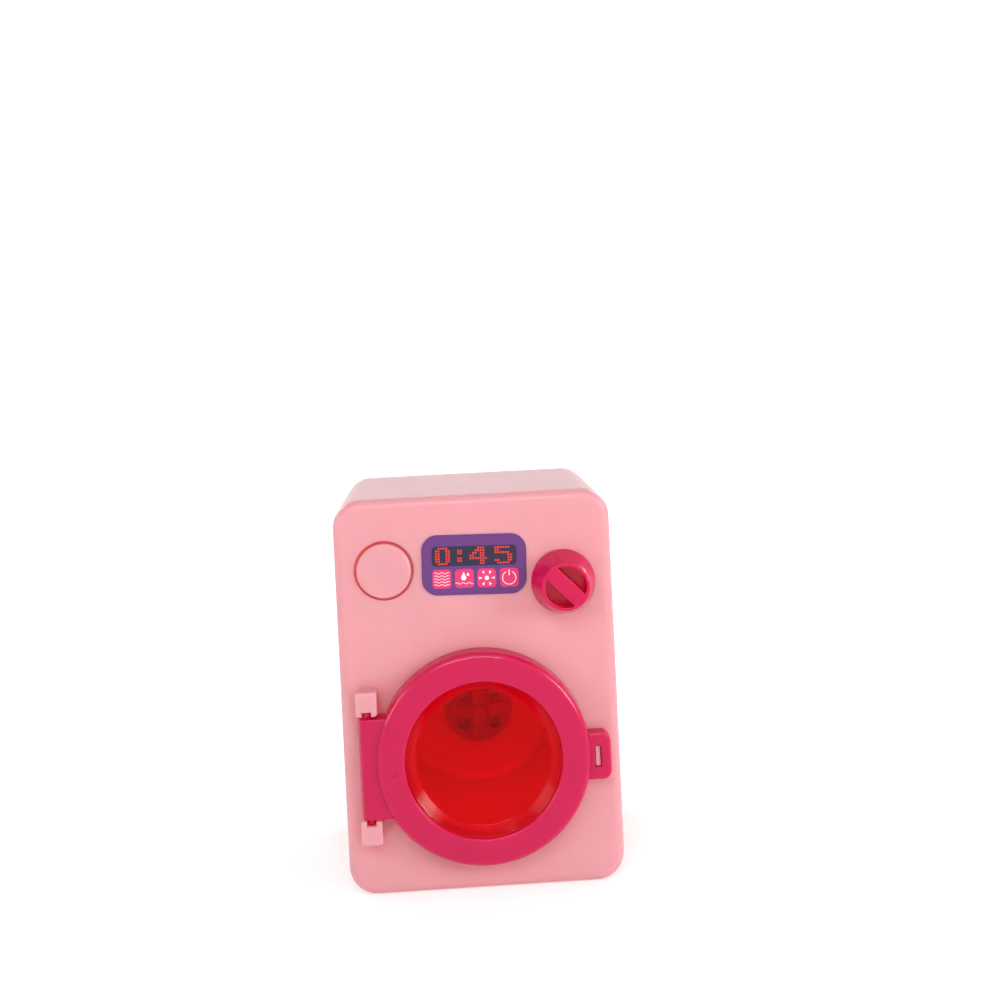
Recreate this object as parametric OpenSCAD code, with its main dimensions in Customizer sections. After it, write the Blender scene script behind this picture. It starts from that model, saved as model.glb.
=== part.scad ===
// Toy washing machine with a hinged porthole door, a push button and a turning
// knob that spins the pulsator in the tub through three spur gears.
// Frame: X to the right, Y to the back, Z up, origin at the middle of the base.
// "Depth" is measured back from the front face, "proud" forward from it.

/* [Case] */
// Width of the case
body_w = 84; // [82:0.5:90]
// Depth of the case, front face to back face
body_d = 60; // [56:0.5:80]
// Height of the case
body_h = 120; // [118:0.5:128]
// Corner radius of the case seen from the front
corner_r = 8.5; // [6:0.25:10]
// Rounding round the front face and the back face
edge_r = 3; // [2.5:0.25:4]
// Wall of the moulded shells
wall = 2; // [1.6:0.1:2.4]
// Depth of the back cover
cover_d = 12; // [9:0.5:14]
// Thickness of the cover's tongue inside the front shell
tongue_t = 1.2; // [0.8:0.1:1.8]
// How far the tongue reaches into the front shell
tongue_d = 2.5; // [1.5:0.25:4]
// Distance of the four case screws from the outside of the case
boss_inset = 6; // [5.5:0.25:8]
// Radius of the case screw bosses
boss_r = 3.5; // [3:0.1:4]

/* [Button] */
// Middle of the button in from the left side of the case
button_inset = 15; // [14:0.2:17]
// Middle of the button below the top of the case
button_drop = 21.4; // [20:0.2:26]
// Radius of the button's cap
button_r = 8.2; // [6.5:0.1:8.6]
// Visible groove round the cap
button_groove = 0.8; // [0.5:0.1:1.2]
// How far the cap stands proud of the front
button_proud = 1.4; // [1:0.1:4]
// Travel of the button
button_travel = 3; // [1.5:0.25:4]
// Rounding of the cap's edge
button_edge = 0.9; // [0.4:0.1:1.2]
// Radius of the button's stem
stem_r = 2.4; // [2:0.1:3]
// Depth of the plate that guides the stem
retainer_depth = 12; // [11:0.5:16]
// Thickness of the plate that guides the stem
retainer_t = 2; // [1.5:0.25:3]
// Radius of the wire of the return spring
wire_r = 0.35; // [0.25:0.05:0.5]
// Turns of the return spring
spring_turns = 6; // [4:1:8]

/* [Display label] */
// Place of the label across the front
label_x = 0.2; // [-1:0.1:1]
// Middle of the label below the top of the case
label_drop = 20.9; // [18:0.1:24]
// Width of the label
label_w = 31.6; // [28:0.2:32]
// Height of the label
label_h = 18.2; // [14:0.2:20]
// Corner radius of the label
label_r = 4.8; // [2:0.2:6]
// Thickness of the label
label_t = 0.25; // [0.15:0.05:0.5]
// Slant of the label, as stuck on by hand
label_turn = -1.5; // [-2:0.1:2]

/* [Knob] */
// Middle of the knob in from the right side of the case
knob_inset = 15.2; // [15:0.2:17]
// Middle of the knob below the top of the case
knob_drop = 27.3; // [24:0.2:32]
// Radius of the knob's skirt at the front face
skirt_r = 9.7; // [8.5:0.1:10.5]
// Radius of the knob's rim at the top
rim_r = 7; // [6.5:0.1:8]
// Height of the knob above the front face
knob_h = 9.4; // [7:0.2:12]
// Width of the grip bar
grip_w = 4.6; // [3:0.1:5]
// Turn of the grip bar from upright, towards the left
grip_turn = 44; // [0:1:90]
// Depth of the two finger pockets beside the grip bar
pocket_d = 5.4; // [3:0.2:6]
// Wall of the rim round the pockets
rim_wall = 0.8; // [0.6:0.1:1.2]
// Radius of the spigot that runs in the front bush
spigot_r = 3.2; // [3:0.1:3.6]
// Length of the front bush
bush_len = 9; // [6:0.5:12]
// Wall of the front bush
bush_wall = 1.3; // [1:0.1:1.8]

/* [Door] */
// Place of the door across the front
door_x = 0.2; // [-0.8:0.1:0.8]
// Height of the middle of the door
door_z = 42; // [40:0.2:48]
// Outer radius of the door ring
ring_r = 32; // [30:0.2:32.5]
// Radius of the hole in the door ring
lip_r = 23.4; // [22:0.2:24]
// Front of the door ring, proud of the case
ring_proud = 7.2; // [6.4:0.1:9]
// Gap between the door and the case
door_gap = 0.4; // [0.3:0.05:0.6]
// Rounding of the ring's outer edge
ring_edge = 2; // [1:0.1:2.4]
// Rounding of the ring's inner edge
lip_edge = 0.6; // [0.3:0.1:1]
// Wall of the hollow door ring
ring_wall = 1.8; // [1.4:0.1:2.2]
// Radius of the mark that the mould's gate leaves on the ring
gate_r = 0.9; // [0.6:0.1:1.2]
// Radius of the window's flat pane
pane_r = 19.9; // [18:0.1:20.5]
// Depth of the pane below the ring's front
pane_depth = 3; // [2:0.1:3.4]
// Thickness of the window
pane_t = 1.4; // [1:0.1:1.6]
// Rounding where the window's slope meets its pane
pane_bend = 1.5; // [0.5:0.1:2]
// Thickness of the ring that clamps the window
clamp_t = 1.4; // [1:0.1:1.8]
// Hole in the clamp ring, larger in radius than the pane
clamp_margin = 0.8; // [0.5:0.1:1.2]

/* [Hinge] */
// How far the hinge pin lies outside the door ring
hinge_reach = 2.2; // [1.8:0.1:3]
// Height of the middle of the hinge
hinge_z = 40.8; // [38:0.2:46]
// How far the hinge pin stands in front of the case
hinge_proud = 3.1; // [3:0.05:4]
// Radius of the hinge knuckle
knuckle_r = 2.8; // [2.4:0.1:2.9]
// Height of the door's hinge plate
knuckle_h = 29.8; // [20:0.2:34]
// Thickness of the hinge plate
hinge_t = 2; // [1.6:0.1:2.2]
// Radius of the hinge pin
pin_r = 1.2; // [0.9:0.1:1.4]
// Width of the hinge lugs
lug_w = 6.4; // [5.4:0.1:7]
// Height of the hinge lugs
lug_h = 7.4; // [6:0.1:10]
// Front of the hinge lugs, proud of the case
lug_proud = 5.6; // [5:0.1:7]
// Gap between the hinge plate and each lug
lug_gap = 0.6; // [0.3:0.1:1]
// Height of the notch that shows the pin in each lug
lug_notch = 1.6; // [1:0.1:2.4]
// Thickness of the upper lug's closed top above the pin
lug_roof = 1; // [0.8:0.1:2]

/* [Latch] */
// How far the latch plate reaches beyond the door ring
latch_reach = 6.3; // [5.8:0.1:7]
// Middle of the latch plate below the middle of the hinge
latch_drop = 0.5; // [0:0.1:1]
// Height of the latch plate
latch_h = 14.2; // [11:0.2:18]
// Front of the latch plate, proud of the case
latch_proud = 4.5; // [4:0.1:6]
// Corner radius of the latch plate
latch_r = 2.6; // [1.5:0.1:4]
// Rounding of the latch plate's front edge
latch_edge = 0.8; // [0.4:0.1:1.2]
// Middle of the latch slot in from the end of the latch plate
slot_inset = 4; // [3.5:0.1:4.5]
// Width of the slot
slot_w = 1.9; // [1.6:0.1:2.4]
// Height of the slot
slot_h = 6.4; // [5:0.2:8]
// Clearance of the catch on every side of its slot
catch_gap = 0.3; // [0.25:0.05:0.4]

/* [Tub] */
// Inner radius of the tub
tub_r = 25; // [24.5:0.1:26]
// Wall of the tub
tub_wall = 1.5; // [1.2:0.1:1.8]
// Radius of the door opening in the case
opening_r = 24.6; // [24:0.1:25]
// Depth of the tub's screw ears
ear_depth = 8; // [6:0.5:12]
// Thickness of the tub's screw ears
ear_t = 2; // [1.6:0.1:3]
// Radius of the pulsator disc
pulsator_r = 11.5; // [9:0.1:16]
// Thickness of the pulsator disc
pulsator_t = 2; // [1.6:0.1:3]
// Reach of the pulsator's cone in front of its disc
cone_h = 8; // [5:0.2:10]
// Width of each pulsator vane
vane_w = 4.2; // [2:0.1:4.6]
// Height of each vane at the cone
vane_h = 4; // [2:0.2:5]

/* [Gear train] */
// Teeth of the knob gear
knob_teeth = 18; // [17:1:19]
// Teeth of the drum gear
drum_teeth = 26; // [22:1:28]
// Size of the teeth, as pitch diameter for each tooth
tooth_size = 1.15; // [1:0.05:1.2]
// Thickness of the gears
gear_t = 4.5; // [3.5:0.1:5]
// Taken off the thickness of every tooth for play
tooth_play = 0.16; // [0.1:0.02:0.24]
// Pressure angle of the teeth
pressure_angle = 20; // [20:0.5:22]
// Radius of the shafts
shaft_r = 2; // [1.6:0.1:2.1]
// Height of the flat along each shaft
shaft_flat = 0.5; // [0.3:0.05:0.7]
// Thickness of the gear plate
plate_t = 2; // [1.6:0.1:2.4]
// Space behind the tub for the gears and their plate
gear_space = 13; // [12.5:0.1:15]

/* [Fasteners and fits] */
// Radius of the screw shanks
screw_r = 1.1; // [0.9:0.05:1.25]
// Radius of the screw heads
head_r = 2.1; // [1.8:0.1:2.3]
// Height of the screw heads
head_h = 1.4; // [1:0.1:1.6]
// Radial clearance of turning and sliding fits
run_gap = 0.06; // [0.04:0.01:0.08]
// Radial clearance of fixed fits
seat_gap = 0.02; // [0.01:0.01:0.04]

/* [Hidden] */
$fn = 48;

EPS = 0.5;
front_y = -body_d / 2;
split_depth = body_d - cover_d;
inner_depth = body_d - wall;
inner_edge = max(edge_r - wall, 0.5);
tongue_gap = 0.15;
boss_xy = [body_w / 2 - boss_inset, body_h / 2 - boss_inset];
seat_t = 3;

// Screw holes: clearance where a shank passes, clearance of a head, depth
// beyond the screw's tip, and how far each kind of screw bites
pass_gap = 0.15;
head_gap = 0.3;
hole_spare = 1.5;
case_bite = 8;
retainer_bite = 6;
ear_bite = 4.5;
post_bite = 5;
clamp_bite = 2;

button_x = -body_w / 2 + button_inset;
button_z = body_h - button_drop;
button_hole = button_r + button_groove;
flange_r = button_hole + 1.2;
flange_t = 1.5;
flange_gap = 0.3;
cap_t = 1.6;
cap_wall = 1.5;
skirt_end = retainer_depth - button_travel - 0.2;
stem_end = retainer_depth + retainer_t + 2;
spring_r = stem_r + 1.3;
spring_play = 0.1;
retainer_boss_r = 2.6;
retainer_reach = flange_r + retainer_boss_r + 0.5;

label_z = body_h - label_drop;

knob_x = body_w / 2 - knob_inset;
knob_z = body_h - knob_drop;
skirt_gap = 0.5;
skirt_t = 0.8;
knob_tip_depth = 1;
brow_r = rim_r + 0.6;
brow_h = knob_h - 1.6;
pocket_floor = 1.6;
core_r = spigot_r + 0.9;
knob_wall = 1.7;
bush_r = spigot_r + run_gap + bush_wall;
bush_flange = 0.7;
bush_boss_r = bush_r + 1.6;
clip_t = 0.6;
clip_r = spigot_r + 2;
clip_gap = 0.1;
clip_front = bush_len + bush_flange + clip_gap;
spigot_end = clip_front + clip_t + clip_gap;

ring_out = ring_r - ring_wall;
front_under = ring_proud - ring_wall;
pane_front = ring_proud - pane_depth;
pane_rear = pane_front - pane_t;
rim_front = ring_proud - 0.5;
under_gap = 0.1;
ring_fit = 0.2;
flange_front = front_under - under_gap;
flange_rear = flange_front - pane_t;
clamp_boss_r = 1.8;
clamp_rear = flange_rear - clamp_t;
clamp_in = pane_r + clamp_margin;
clamp_out = ring_out - ring_fit;
clamp_pitch = ring_out - head_r - ring_fit;
flange_out = clamp_pitch - clamp_boss_r - ring_fit;
rim_out = lip_r - under_gap;
rim_in = rim_out - pane_t / 4;
slope_foot = [pane_r - pane_t / 4, pane_rear];
slope_top = [lip_r - pane_t, flange_rear];
gate_angle = 186;
gate_depth = 0.35;

hinge_x = door_x - ring_r - hinge_reach;
latch_x = door_x + ring_r + latch_reach;
slot_x = latch_x - slot_inset;
latch_z = hinge_z - latch_drop;
lug_z = [hinge_z - knuckle_h / 2 - lug_gap, hinge_z + knuckle_h / 2 + lug_gap];
lug_corner = 1;
lug_edge = 0.8;
notch_gap = 0.25;
pin_end_gap = 0.7;
pin_top = lug_z[1] + lug_h - lug_roof;
hinge_rib = 1.6;
catch_w = slot_w - 2 * catch_gap;
catch_h = slot_h - 2 * catch_gap;
catch_proud = latch_proud - 0.5;

tub_out = tub_r + tub_wall;
tub_end = inner_depth - gear_space;
tub_front = wall + 0.2;
ear_r = 3.5;
ear_pitch = tub_out + ear_r + 0.5;
tub_boss_r = 2.9;
tub_corner_r = 2.4;
tub_bush_r = shaft_r + run_gap + bush_wall;
tub_bush_flange_r = tub_bush_r + 1.2;

pulsator_rear = tub_end - tub_wall - 0.4;
pulsator_front = pulsator_rear - pulsator_t;
pulsator_edge = 0.8;
cone_tip_r = 2.4;
cone_root_r = shaft_r + 2.4;
cone_wall = 3;
shaft_front = pulsator_front - cone_h + cone_wall;
drain_r = 1.8;
drain_pitch = pulsator_r * 0.64;
vane_foot = 1.2;

hub_front = 0.3;
hub_rear = 0.6;
hub_r = shaft_r + 2.4;
web_rim = 2.6;
web_recess = 1.2;
gear_front = tub_end + bush_flange + hub_front + 0.3;
gear_rear = gear_front + gear_t;
plate_front = gear_rear + hub_rear + 0.3;
plate_rear = plate_front + plate_t;
shaft_end = plate_rear + 0.6;
axle_head_r = shaft_r + 1.4;
axle_head_t = 0.9;
axle_head_rear = gear_front - hub_front - 0.1;
axis_gap = norm([knob_x - door_x, knob_z - door_z]);
train_angle = atan2(door_z - knob_z, door_x - knob_x);
idler_teeth = round(axis_gap / tooth_size - (knob_teeth + drum_teeth) / 2);
gear_module = 2 * axis_gap / (knob_teeth + 2 * idler_teeth + drum_teeth);
idler_reach = gear_module * (knob_teeth + idler_teeth) / 2;
idler_xz = [knob_x + idler_reach * cos(train_angle), knob_z + idler_reach * sin(train_angle)];
knob_phase = train_angle;
idler_phase = train_angle + 180 + 180 / idler_teeth;
drum_phase = train_angle + 180 - 180 * (idler_teeth + 2) / drum_teeth;

post_r = 3;
post_gap = 0.7;
drum_tip = gear_module * (drum_teeth / 2 + 1);
knob_tip = gear_module * (knob_teeth / 2 + 1);
tub_post_pitch = drum_tip + post_r + post_gap;
tub_post_angles = [train_angle - 90, train_angle, train_angle + 90];
case_post_pitch = knob_tip + post_r + post_gap;
case_post_angles = [90, 162];
arm_w = 16;
post_arm_w = 7;
plate_rim = 1.2;

// ---------- helpers ----------

// Puts children, drawn on the XY plane, on a plane at this depth behind the
// front face: their X stays X, their Y becomes up, their Z points forward.
module panel(depth = 0) {
    translate([0, front_y + depth, 0]) rotate([90, 0, 0]) children();
}

// A disc or a hole from one depth to a deeper one
module disc(x, z, r, from, to) {
    panel(to) translate([x, z, 0]) cylinder(r = r, h = to - from);
}

// A revolved piece on an axis that runs front to back; the profile is drawn
// as radius and height proud of the front face.
module turned(x, z) {
    panel() translate([x, z, 0]) rotate_extrude() children();
}

module quarter_disc(r) {
    intersection() {
        circle(r);
        square(r);
    }
}

// Strip of a slab's section: square inside, rounded along its outer side
module edge_profile(length, depth, front_edge, rear_edge) {
    translate([0, rear_edge]) square([length, depth - front_edge - rear_edge]);
    translate([0, rear_edge]) square([length - front_edge, depth - rear_edge]);
    square([length - rear_edge, depth - front_edge]);
    if (front_edge > 0) translate([length - front_edge, depth - front_edge]) quarter_disc(front_edge);
    if (rear_edge > 0) translate([length - rear_edge, rear_edge]) mirror([0, 1]) quarter_disc(rear_edge);
}

// Block with round corners seen from the front and rounded face edges.
// It stands on its rear face, with its front face at +Z.
module rounded_slab(width, height, depth, corner, front_edge = 0, rear_edge = 0) {
    side = [width - 2 * corner, height - 2 * corner];
    translate([-side[0] / 2, -side[1] / 2, 0]) cube([side[0], side[1], depth]);
    for (turn = [0, 180]) rotate(turn) {
        translate([side[0] / 2, 0, 0]) rotate([90, 0, 0])
            linear_extrude(side[1], center = true) edge_profile(corner, depth, front_edge, rear_edge);
        translate([0, side[1] / 2, 0]) rotate(90) rotate([90, 0, 0])
            linear_extrude(side[0], center = true) edge_profile(corner, depth, front_edge, rear_edge);
        translate([side[0] / 2, side[1] / 2, 0])
            rotate_extrude(angle = 90) edge_profile(corner, depth, front_edge, rear_edge);
        translate([-side[0] / 2, side[1] / 2, 0]) rotate(90)
            rotate_extrude(angle = 90) edge_profile(corner, depth, front_edge, rear_edge);
    }
}

// The case's own form, stepped in by an inset, from one depth to a deeper one
module case_form(inset, from, to, front_edge = 0, rear_edge = 0) {
    panel(to) translate([0, body_h / 2, 0])
        rounded_slab(body_w - 2 * inset, body_h - 2 * inset, to - from,
            corner_r - inset, front_edge, rear_edge);
}

// Rectangle in the XY plane with round corners
module round_rect(width, height, r) {
    square([width - 2 * r, height], center = true);
    square([width, height - 2 * r], center = true);
    for (x = [-1, 1], y = [-1, 1]) translate([x * (width / 2 - r), y * (height / 2 - r)]) circle(r);
}

// Profile with its two upper corners rounded
module topped(x0, x1, y0, y1, left_r, right_r) {
    low = max(left_r, right_r);
    translate([x0, y0]) square([x1 - x0, y1 - y0 - low]);
    translate([x0 + left_r, y0]) square([x1 - x0 - left_r - right_r, y1 - y0]);
    translate([x0, y0]) square([left_r + EPS / 10, y1 - y0 - left_r]);
    translate([x1 - right_r - EPS / 10, y0]) square([right_r + EPS / 10, y1 - y0 - right_r]);
    if (left_r > 0) translate([x0 + left_r, y1 - left_r]) circle(left_r);
    if (right_r > 0) translate([x1 - right_r, y1 - right_r]) circle(right_r);
}

// Section of a shaft with one flat along it, grown by a gap for its seat
module d_section(gap = 0) {
    difference() {
        circle(shaft_r + gap);
        translate([shaft_r - shaft_flat + gap, -2 * shaft_r]) square(4 * shaft_r);
    }
}

// Screw driven from behind: its shank points forward, its cross-slotted head
// sits behind
module screw(length) {
    slot = [head_r * 1.2, 0.4, head_h];
    difference() {
        union() {
            translate([0, 0, -head_h]) cylinder(r = head_r, h = head_h);
            cylinder(r = screw_r, h = length);
        }
        for (turn = [0, 90]) rotate(turn) translate([0, 0, -head_h]) cube(slot, center = true);
    }
}

// Blind hole that a screw bites into, and a hole that its shank passes
module bite_hole(bite, spare = hole_spare) {
    translate([0, 0, -EPS]) cylinder(r = screw_r + seat_gap, h = EPS + bite + spare);
}

module pass_hole(depth) {
    translate([0, 0, -EPS]) cylinder(r = screw_r + pass_gap, h = depth + 2 * EPS);
}

// Places at the four corners of the case for the case screws
module at_case_screws(depth) {
    for (x = [-1, 1], z = [-1, 1])
        panel(depth) translate([x * boss_xy[0], body_h / 2 + z * boss_xy[1], 0]) children();
}

// Places of the tub's four ears
module at_tub_ears(depth) {
    for (i = [0:3]) panel(depth) translate([door_x, door_z, 0])
        rotate(45 + 90 * i) translate([ear_pitch, 0, 0]) children();
}

// Places of the clamp's four screws
module at_clamp_screws() {
    for (i = [0:3]) panel() translate([door_x, door_z, clamp_rear])
        rotate(45 + 90 * i) translate([clamp_pitch, 0, 0]) children();
}

// Places of the two screws of the button's guide plate
module at_retainer_screws(depth) {
    for (side = [-1, 1])
        panel(depth) translate([button_x, button_z + side * retainer_reach, 0]) children();
}

// Places of the gear plate's screws: three on the tub, two on the case
module at_tub_posts(depth) {
    for (angle = tub_post_angles) panel(depth) translate([door_x, door_z, 0])
        rotate(angle) translate([tub_post_pitch, 0, 0]) children();
}

module at_case_posts(depth) {
    for (angle = case_post_angles) panel(depth) translate([knob_x, knob_z, 0])
        rotate(angle) translate([case_post_pitch, 0, 0]) children();
}

// ---------- case ----------

module hinge_lug(z_low, notch_low) {
    difference() {
        panel(EPS) translate([hinge_x, z_low + lug_h / 2, 0])
            rounded_slab(lug_w, lug_h, lug_proud + EPS, lug_corner, lug_edge);
        panel(-hinge_proud) translate([hinge_x - pin_r - notch_gap, z_low + notch_low, 0])
            cube([2 * (pin_r + notch_gap), lug_notch, lug_proud]);
    }
}

module front_shell() {
    color([0.94, 0.62, 0.66]) difference() {
        union() {
            difference() {
                case_form(0, 0, split_depth, front_edge = edge_r);
                case_form(wall, wall, split_depth + EPS, front_edge = inner_edge);
            }
            at_case_screws(split_depth) cylinder(r = boss_r, h = split_depth - wall + EPS);
            at_tub_ears(ear_depth) cylinder(r = tub_boss_r, h = ear_depth - wall + EPS);
            at_retainer_screws(retainer_depth)
                cylinder(r = retainer_boss_r, h = retainer_depth - wall + EPS);
            at_case_posts(plate_front) cylinder(r = post_r, h = plate_front - wall + EPS);
            disc(knob_x, knob_z, bush_boss_r, wall - EPS, bush_len);
            hinge_lug(lug_z[0] - lug_h, lug_h - lug_notch);
            hinge_lug(lug_z[1], 0);
            panel(EPS) translate([slot_x - catch_w / 2, latch_z - catch_h / 2, 0])
                cube([catch_w, catch_h, EPS + catch_proud]);
        }
        disc(door_x, door_z, opening_r, -EPS, wall + EPS);
        disc(button_x, button_z, button_hole, -EPS, wall + EPS);
        disc(knob_x, knob_z, bush_r + seat_gap, -EPS, bush_len + EPS);
        at_case_screws(split_depth) bite_hole(case_bite);
        at_tub_ears(ear_depth) bite_hole(ear_bite);
        at_retainer_screws(retainer_depth) bite_hole(retainer_bite);
        at_case_posts(plate_front) bite_hole(post_bite);
        translate([hinge_x, front_y - hinge_proud, lug_z[0] - lug_h - EPS])
            cylinder(r = pin_r + run_gap, h = pin_top - (lug_z[0] - lug_h - EPS));
    }
}

module back_cover() {
    color([0.94, 0.62, 0.66]) difference() {
        union() {
            difference() {
                case_form(0, split_depth, body_d, rear_edge = edge_r);
                case_form(wall, split_depth - EPS, inner_depth, rear_edge = inner_edge);
            }
            difference() {
                union() {
                    case_form(wall - EPS, split_depth, split_depth + seat_t);
                    case_form(wall + tongue_gap, split_depth - tongue_d, split_depth + EPS);
                }
                case_form(wall + tongue_gap + tongue_t, split_depth - tongue_d - EPS,
                    split_depth + seat_t + EPS);
                at_case_screws(split_depth) cylinder(r = boss_r + tongue_gap, h = tongue_d + EPS);
            }
            at_case_screws(inner_depth + EPS) cylinder(r = boss_r, h = inner_depth + EPS - split_depth);
        }
        at_case_screws(body_d + EPS) cylinder(r = head_r + head_gap, h = cover_d - seat_t + EPS);
        at_case_screws(split_depth + seat_t) pass_hole(seat_t);
    }
}

module case_screws() {
    color("silver") at_case_screws(split_depth + seat_t) screw(seat_t + case_bite);
}

module display_label() {
    color([0.47, 0.28, 0.59]) panel() translate([label_x, label_z, 0])
        rotate(label_turn) linear_extrude(label_t) round_rect(label_w, label_h, label_r);
}

// ---------- button ----------

module button() {
    cap_rear = button_proud - cap_t;
    color([0.94, 0.62, 0.66]) turned(button_x, button_z) {
        topped(0, button_r, cap_rear, button_proud, 0, button_edge);
        translate([button_r - cap_wall, -skirt_end]) square([cap_wall, skirt_end + cap_rear]);
        translate([button_r - cap_wall, -wall - flange_gap - flange_t])
            square([flange_r - button_r + cap_wall, flange_t]);
        translate([0, -stem_end]) square([stem_r, stem_end + cap_rear]);
    }
}

function spring_ring(turn, length) = let(sides = 8)
    [for (i = [0:sides - 1]) let(a = 360 * i / sides, r = spring_r + wire_r * cos(a))
        [r * cos(turn), r * sin(turn), length * turn / (360 * spring_turns) + wire_r * sin(a)]];

// Coil of round wire that stands on z = 0
module coil_spring(length) {
    sides = 8;
    steps = 16 * spring_turns;
    points = [for (s = [0:steps]) each spring_ring(360 * spring_turns * s / steps, length - 2 * wire_r)];
    walls = [for (s = [0:steps - 1], i = [0:sides - 1]) let(j = (i + 1) % sides)
        [s * sides + i, s * sides + j, (s + 1) * sides + j, (s + 1) * sides + i]];
    ends = [[for (i = [sides - 1:-1:0]) i], [for (i = [0:sides - 1]) steps * sides + i]];
    translate([0, 0, wire_r]) polyhedron(points, concat(walls, ends));
}

module button_spring() {
    color("silver") panel(retainer_depth - spring_play) translate([button_x, button_z, 0])
        coil_spring(retainer_depth - cap_t + button_proud - 2 * spring_play);
}

module button_retainer() {
    color("white") difference() {
        panel(retainer_depth + retainer_t) translate([button_x, button_z, 0]) {
            linear_extrude(retainer_t) round_rect(2 * retainer_boss_r,
                2 * (retainer_reach + retainer_boss_r), retainer_boss_r / 2);
            cylinder(r = button_r, h = retainer_t);
        }
        disc(button_x, button_z, stem_r + run_gap, retainer_depth - EPS, retainer_depth + retainer_t + EPS);
        at_retainer_screws(retainer_depth + retainer_t) pass_hole(retainer_t);
    }
}

module retainer_screws() {
    color("silver") at_retainer_screws(retainer_depth + retainer_t) screw(retainer_t + retainer_bite);
}

// ---------- knob ----------

module knob() {
    color([0.86, 0.18, 0.40]) difference() {
        turned(knob_x, knob_z) {
            polygon([[0, skirt_gap], [skirt_r, skirt_gap], [skirt_r, skirt_gap + skirt_t],
                [brow_r, brow_h], [rim_r, knob_h], [0, knob_h]]);
            translate([0, -spigot_end]) square([spigot_r, spigot_end + 2 * skirt_gap]);
        }
        panel() translate([knob_x, knob_z, knob_h - pocket_d]) linear_extrude(pocket_d + EPS) difference() {
            circle(rim_r - rim_wall);
            rotate(grip_turn) square([grip_w, 2 * rim_r], center = true);
        }
        turned(knob_x, knob_z) translate([core_r, -EPS])
            square([skirt_r - knob_wall - core_r, EPS + knob_h - pocket_d - pocket_floor]);
        panel(spigot_end + EPS) translate([knob_x, knob_z, 0])
            linear_extrude(spigot_end + EPS + knob_tip_depth) d_section(seat_gap);
    }
}

module knob_bush() {
    color("white") difference() {
        union() {
            disc(knob_x, knob_z, bush_r, 0, bush_len);
            disc(knob_x, knob_z, bush_boss_r, bush_len, bush_len + bush_flange);
        }
        disc(knob_x, knob_z, spigot_r + run_gap, -EPS, bush_len + bush_flange + EPS);
    }
}

module knob_clip() {
    color("silver") difference() {
        disc(knob_x, knob_z, clip_r, clip_front, clip_front + clip_t);
        disc(knob_x, knob_z, spigot_r + seat_gap, clip_front - EPS, spigot_end + EPS);
    }
}

module knob_shaft() {
    color("silver") panel(shaft_end) translate([knob_x, knob_z, 0])
        linear_extrude(shaft_end + knob_tip_depth - skirt_gap) d_section();
}

// ---------- gears ----------

function polar(r, angle) = [r * cos(angle), r * sin(angle)];

// Angle in degrees that an involute has turned through at radius r
function involute_turn(r, base_r) = let(t = sqrt(max(pow(r / base_r, 2) - 1, 0))) t * 180 / PI - atan(t);

// Half the angle that a tooth takes at radius r
function tooth_half(r, pitch_r, teeth) = let(base_r = pitch_r * cos(pressure_angle))
    90 / teeth - tooth_play / (2 * pitch_r) * 180 / PI
    + involute_turn(pitch_r, base_r) - involute_turn(r, base_r);

// One tooth from its root round its tip to its other root
function tooth_points(teeth, mid) = let(
        pitch_r = gear_module * teeth / 2,
        root_r = pitch_r - 1.2 * gear_module,
        tip_r = pitch_r + 0.9 * gear_module,
        flank_r = max(root_r + 0.05, pitch_r * cos(pressure_angle)),
        radii = [for (s = [0:4]) flank_r + (tip_r - flank_r) * s / 4])
    [polar(root_r, mid - tooth_half(flank_r, pitch_r, teeth)),
        for (r = radii) polar(r, mid - tooth_half(r, pitch_r, teeth)),
        for (s = [4:-1:0]) polar(radii[s], mid + tooth_half(radii[s], pitch_r, teeth)),
        polar(root_r, mid + tooth_half(flank_r, pitch_r, teeth))];

// Spur gear that stands on its rear face, with a hub that stands out at both
// faces and a recess round it in the front face
module spur_gear(teeth, phase) {
    web_r = gear_module * (teeth / 2 - web_rim);
    difference() {
        union() {
            linear_extrude(gear_t)
                polygon([for (i = [0:teeth - 1]) each tooth_points(teeth, phase + 360 * i / teeth)]);
            translate([0, 0, -hub_rear]) cylinder(r = hub_r, h = hub_rear + gear_t + hub_front);
        }
        translate([0, 0, gear_t - web_recess]) linear_extrude(2 * web_recess) difference() {
            circle(web_r);
            circle(hub_r);
        }
    }
}

module at_gear(xz) {
    panel(gear_rear) translate([xz[0], xz[1], 0]) children();
}

module knob_gear() {
    color("gold") at_gear([knob_x, knob_z]) difference() {
        spur_gear(knob_teeth, knob_phase);
        translate([0, 0, -gear_t]) linear_extrude(3 * gear_t) d_section(seat_gap);
    }
}

module drum_gear() {
    color("gold") at_gear([door_x, door_z]) difference() {
        spur_gear(drum_teeth, drum_phase);
        translate([0, 0, -gear_t]) linear_extrude(3 * gear_t) d_section(seat_gap);
    }
}

module idler_gear() {
    color("orange") at_gear(idler_xz) difference() {
        spur_gear(idler_teeth, idler_phase);
        translate([0, 0, -gear_t]) cylinder(r = shaft_r + run_gap, h = 3 * gear_t);
    }
}

module idler_axle() {
    color("silver") {
        disc(idler_xz[0], idler_xz[1], shaft_r, axle_head_rear - axle_head_t, plate_rear);
        disc(idler_xz[0], idler_xz[1], axle_head_r, axle_head_rear - axle_head_t, axle_head_rear);
    }
}

// Strip of plate between two points, with a round end at the second
module plate_arm(from, to, width, end_r) {
    span = to - from;
    translate(from) rotate(atan2(span[1], span[0])) {
        translate([0, -width / 2]) square([norm(span), width]);
        translate([norm(span), 0]) circle(end_r);
    }
}

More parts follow.
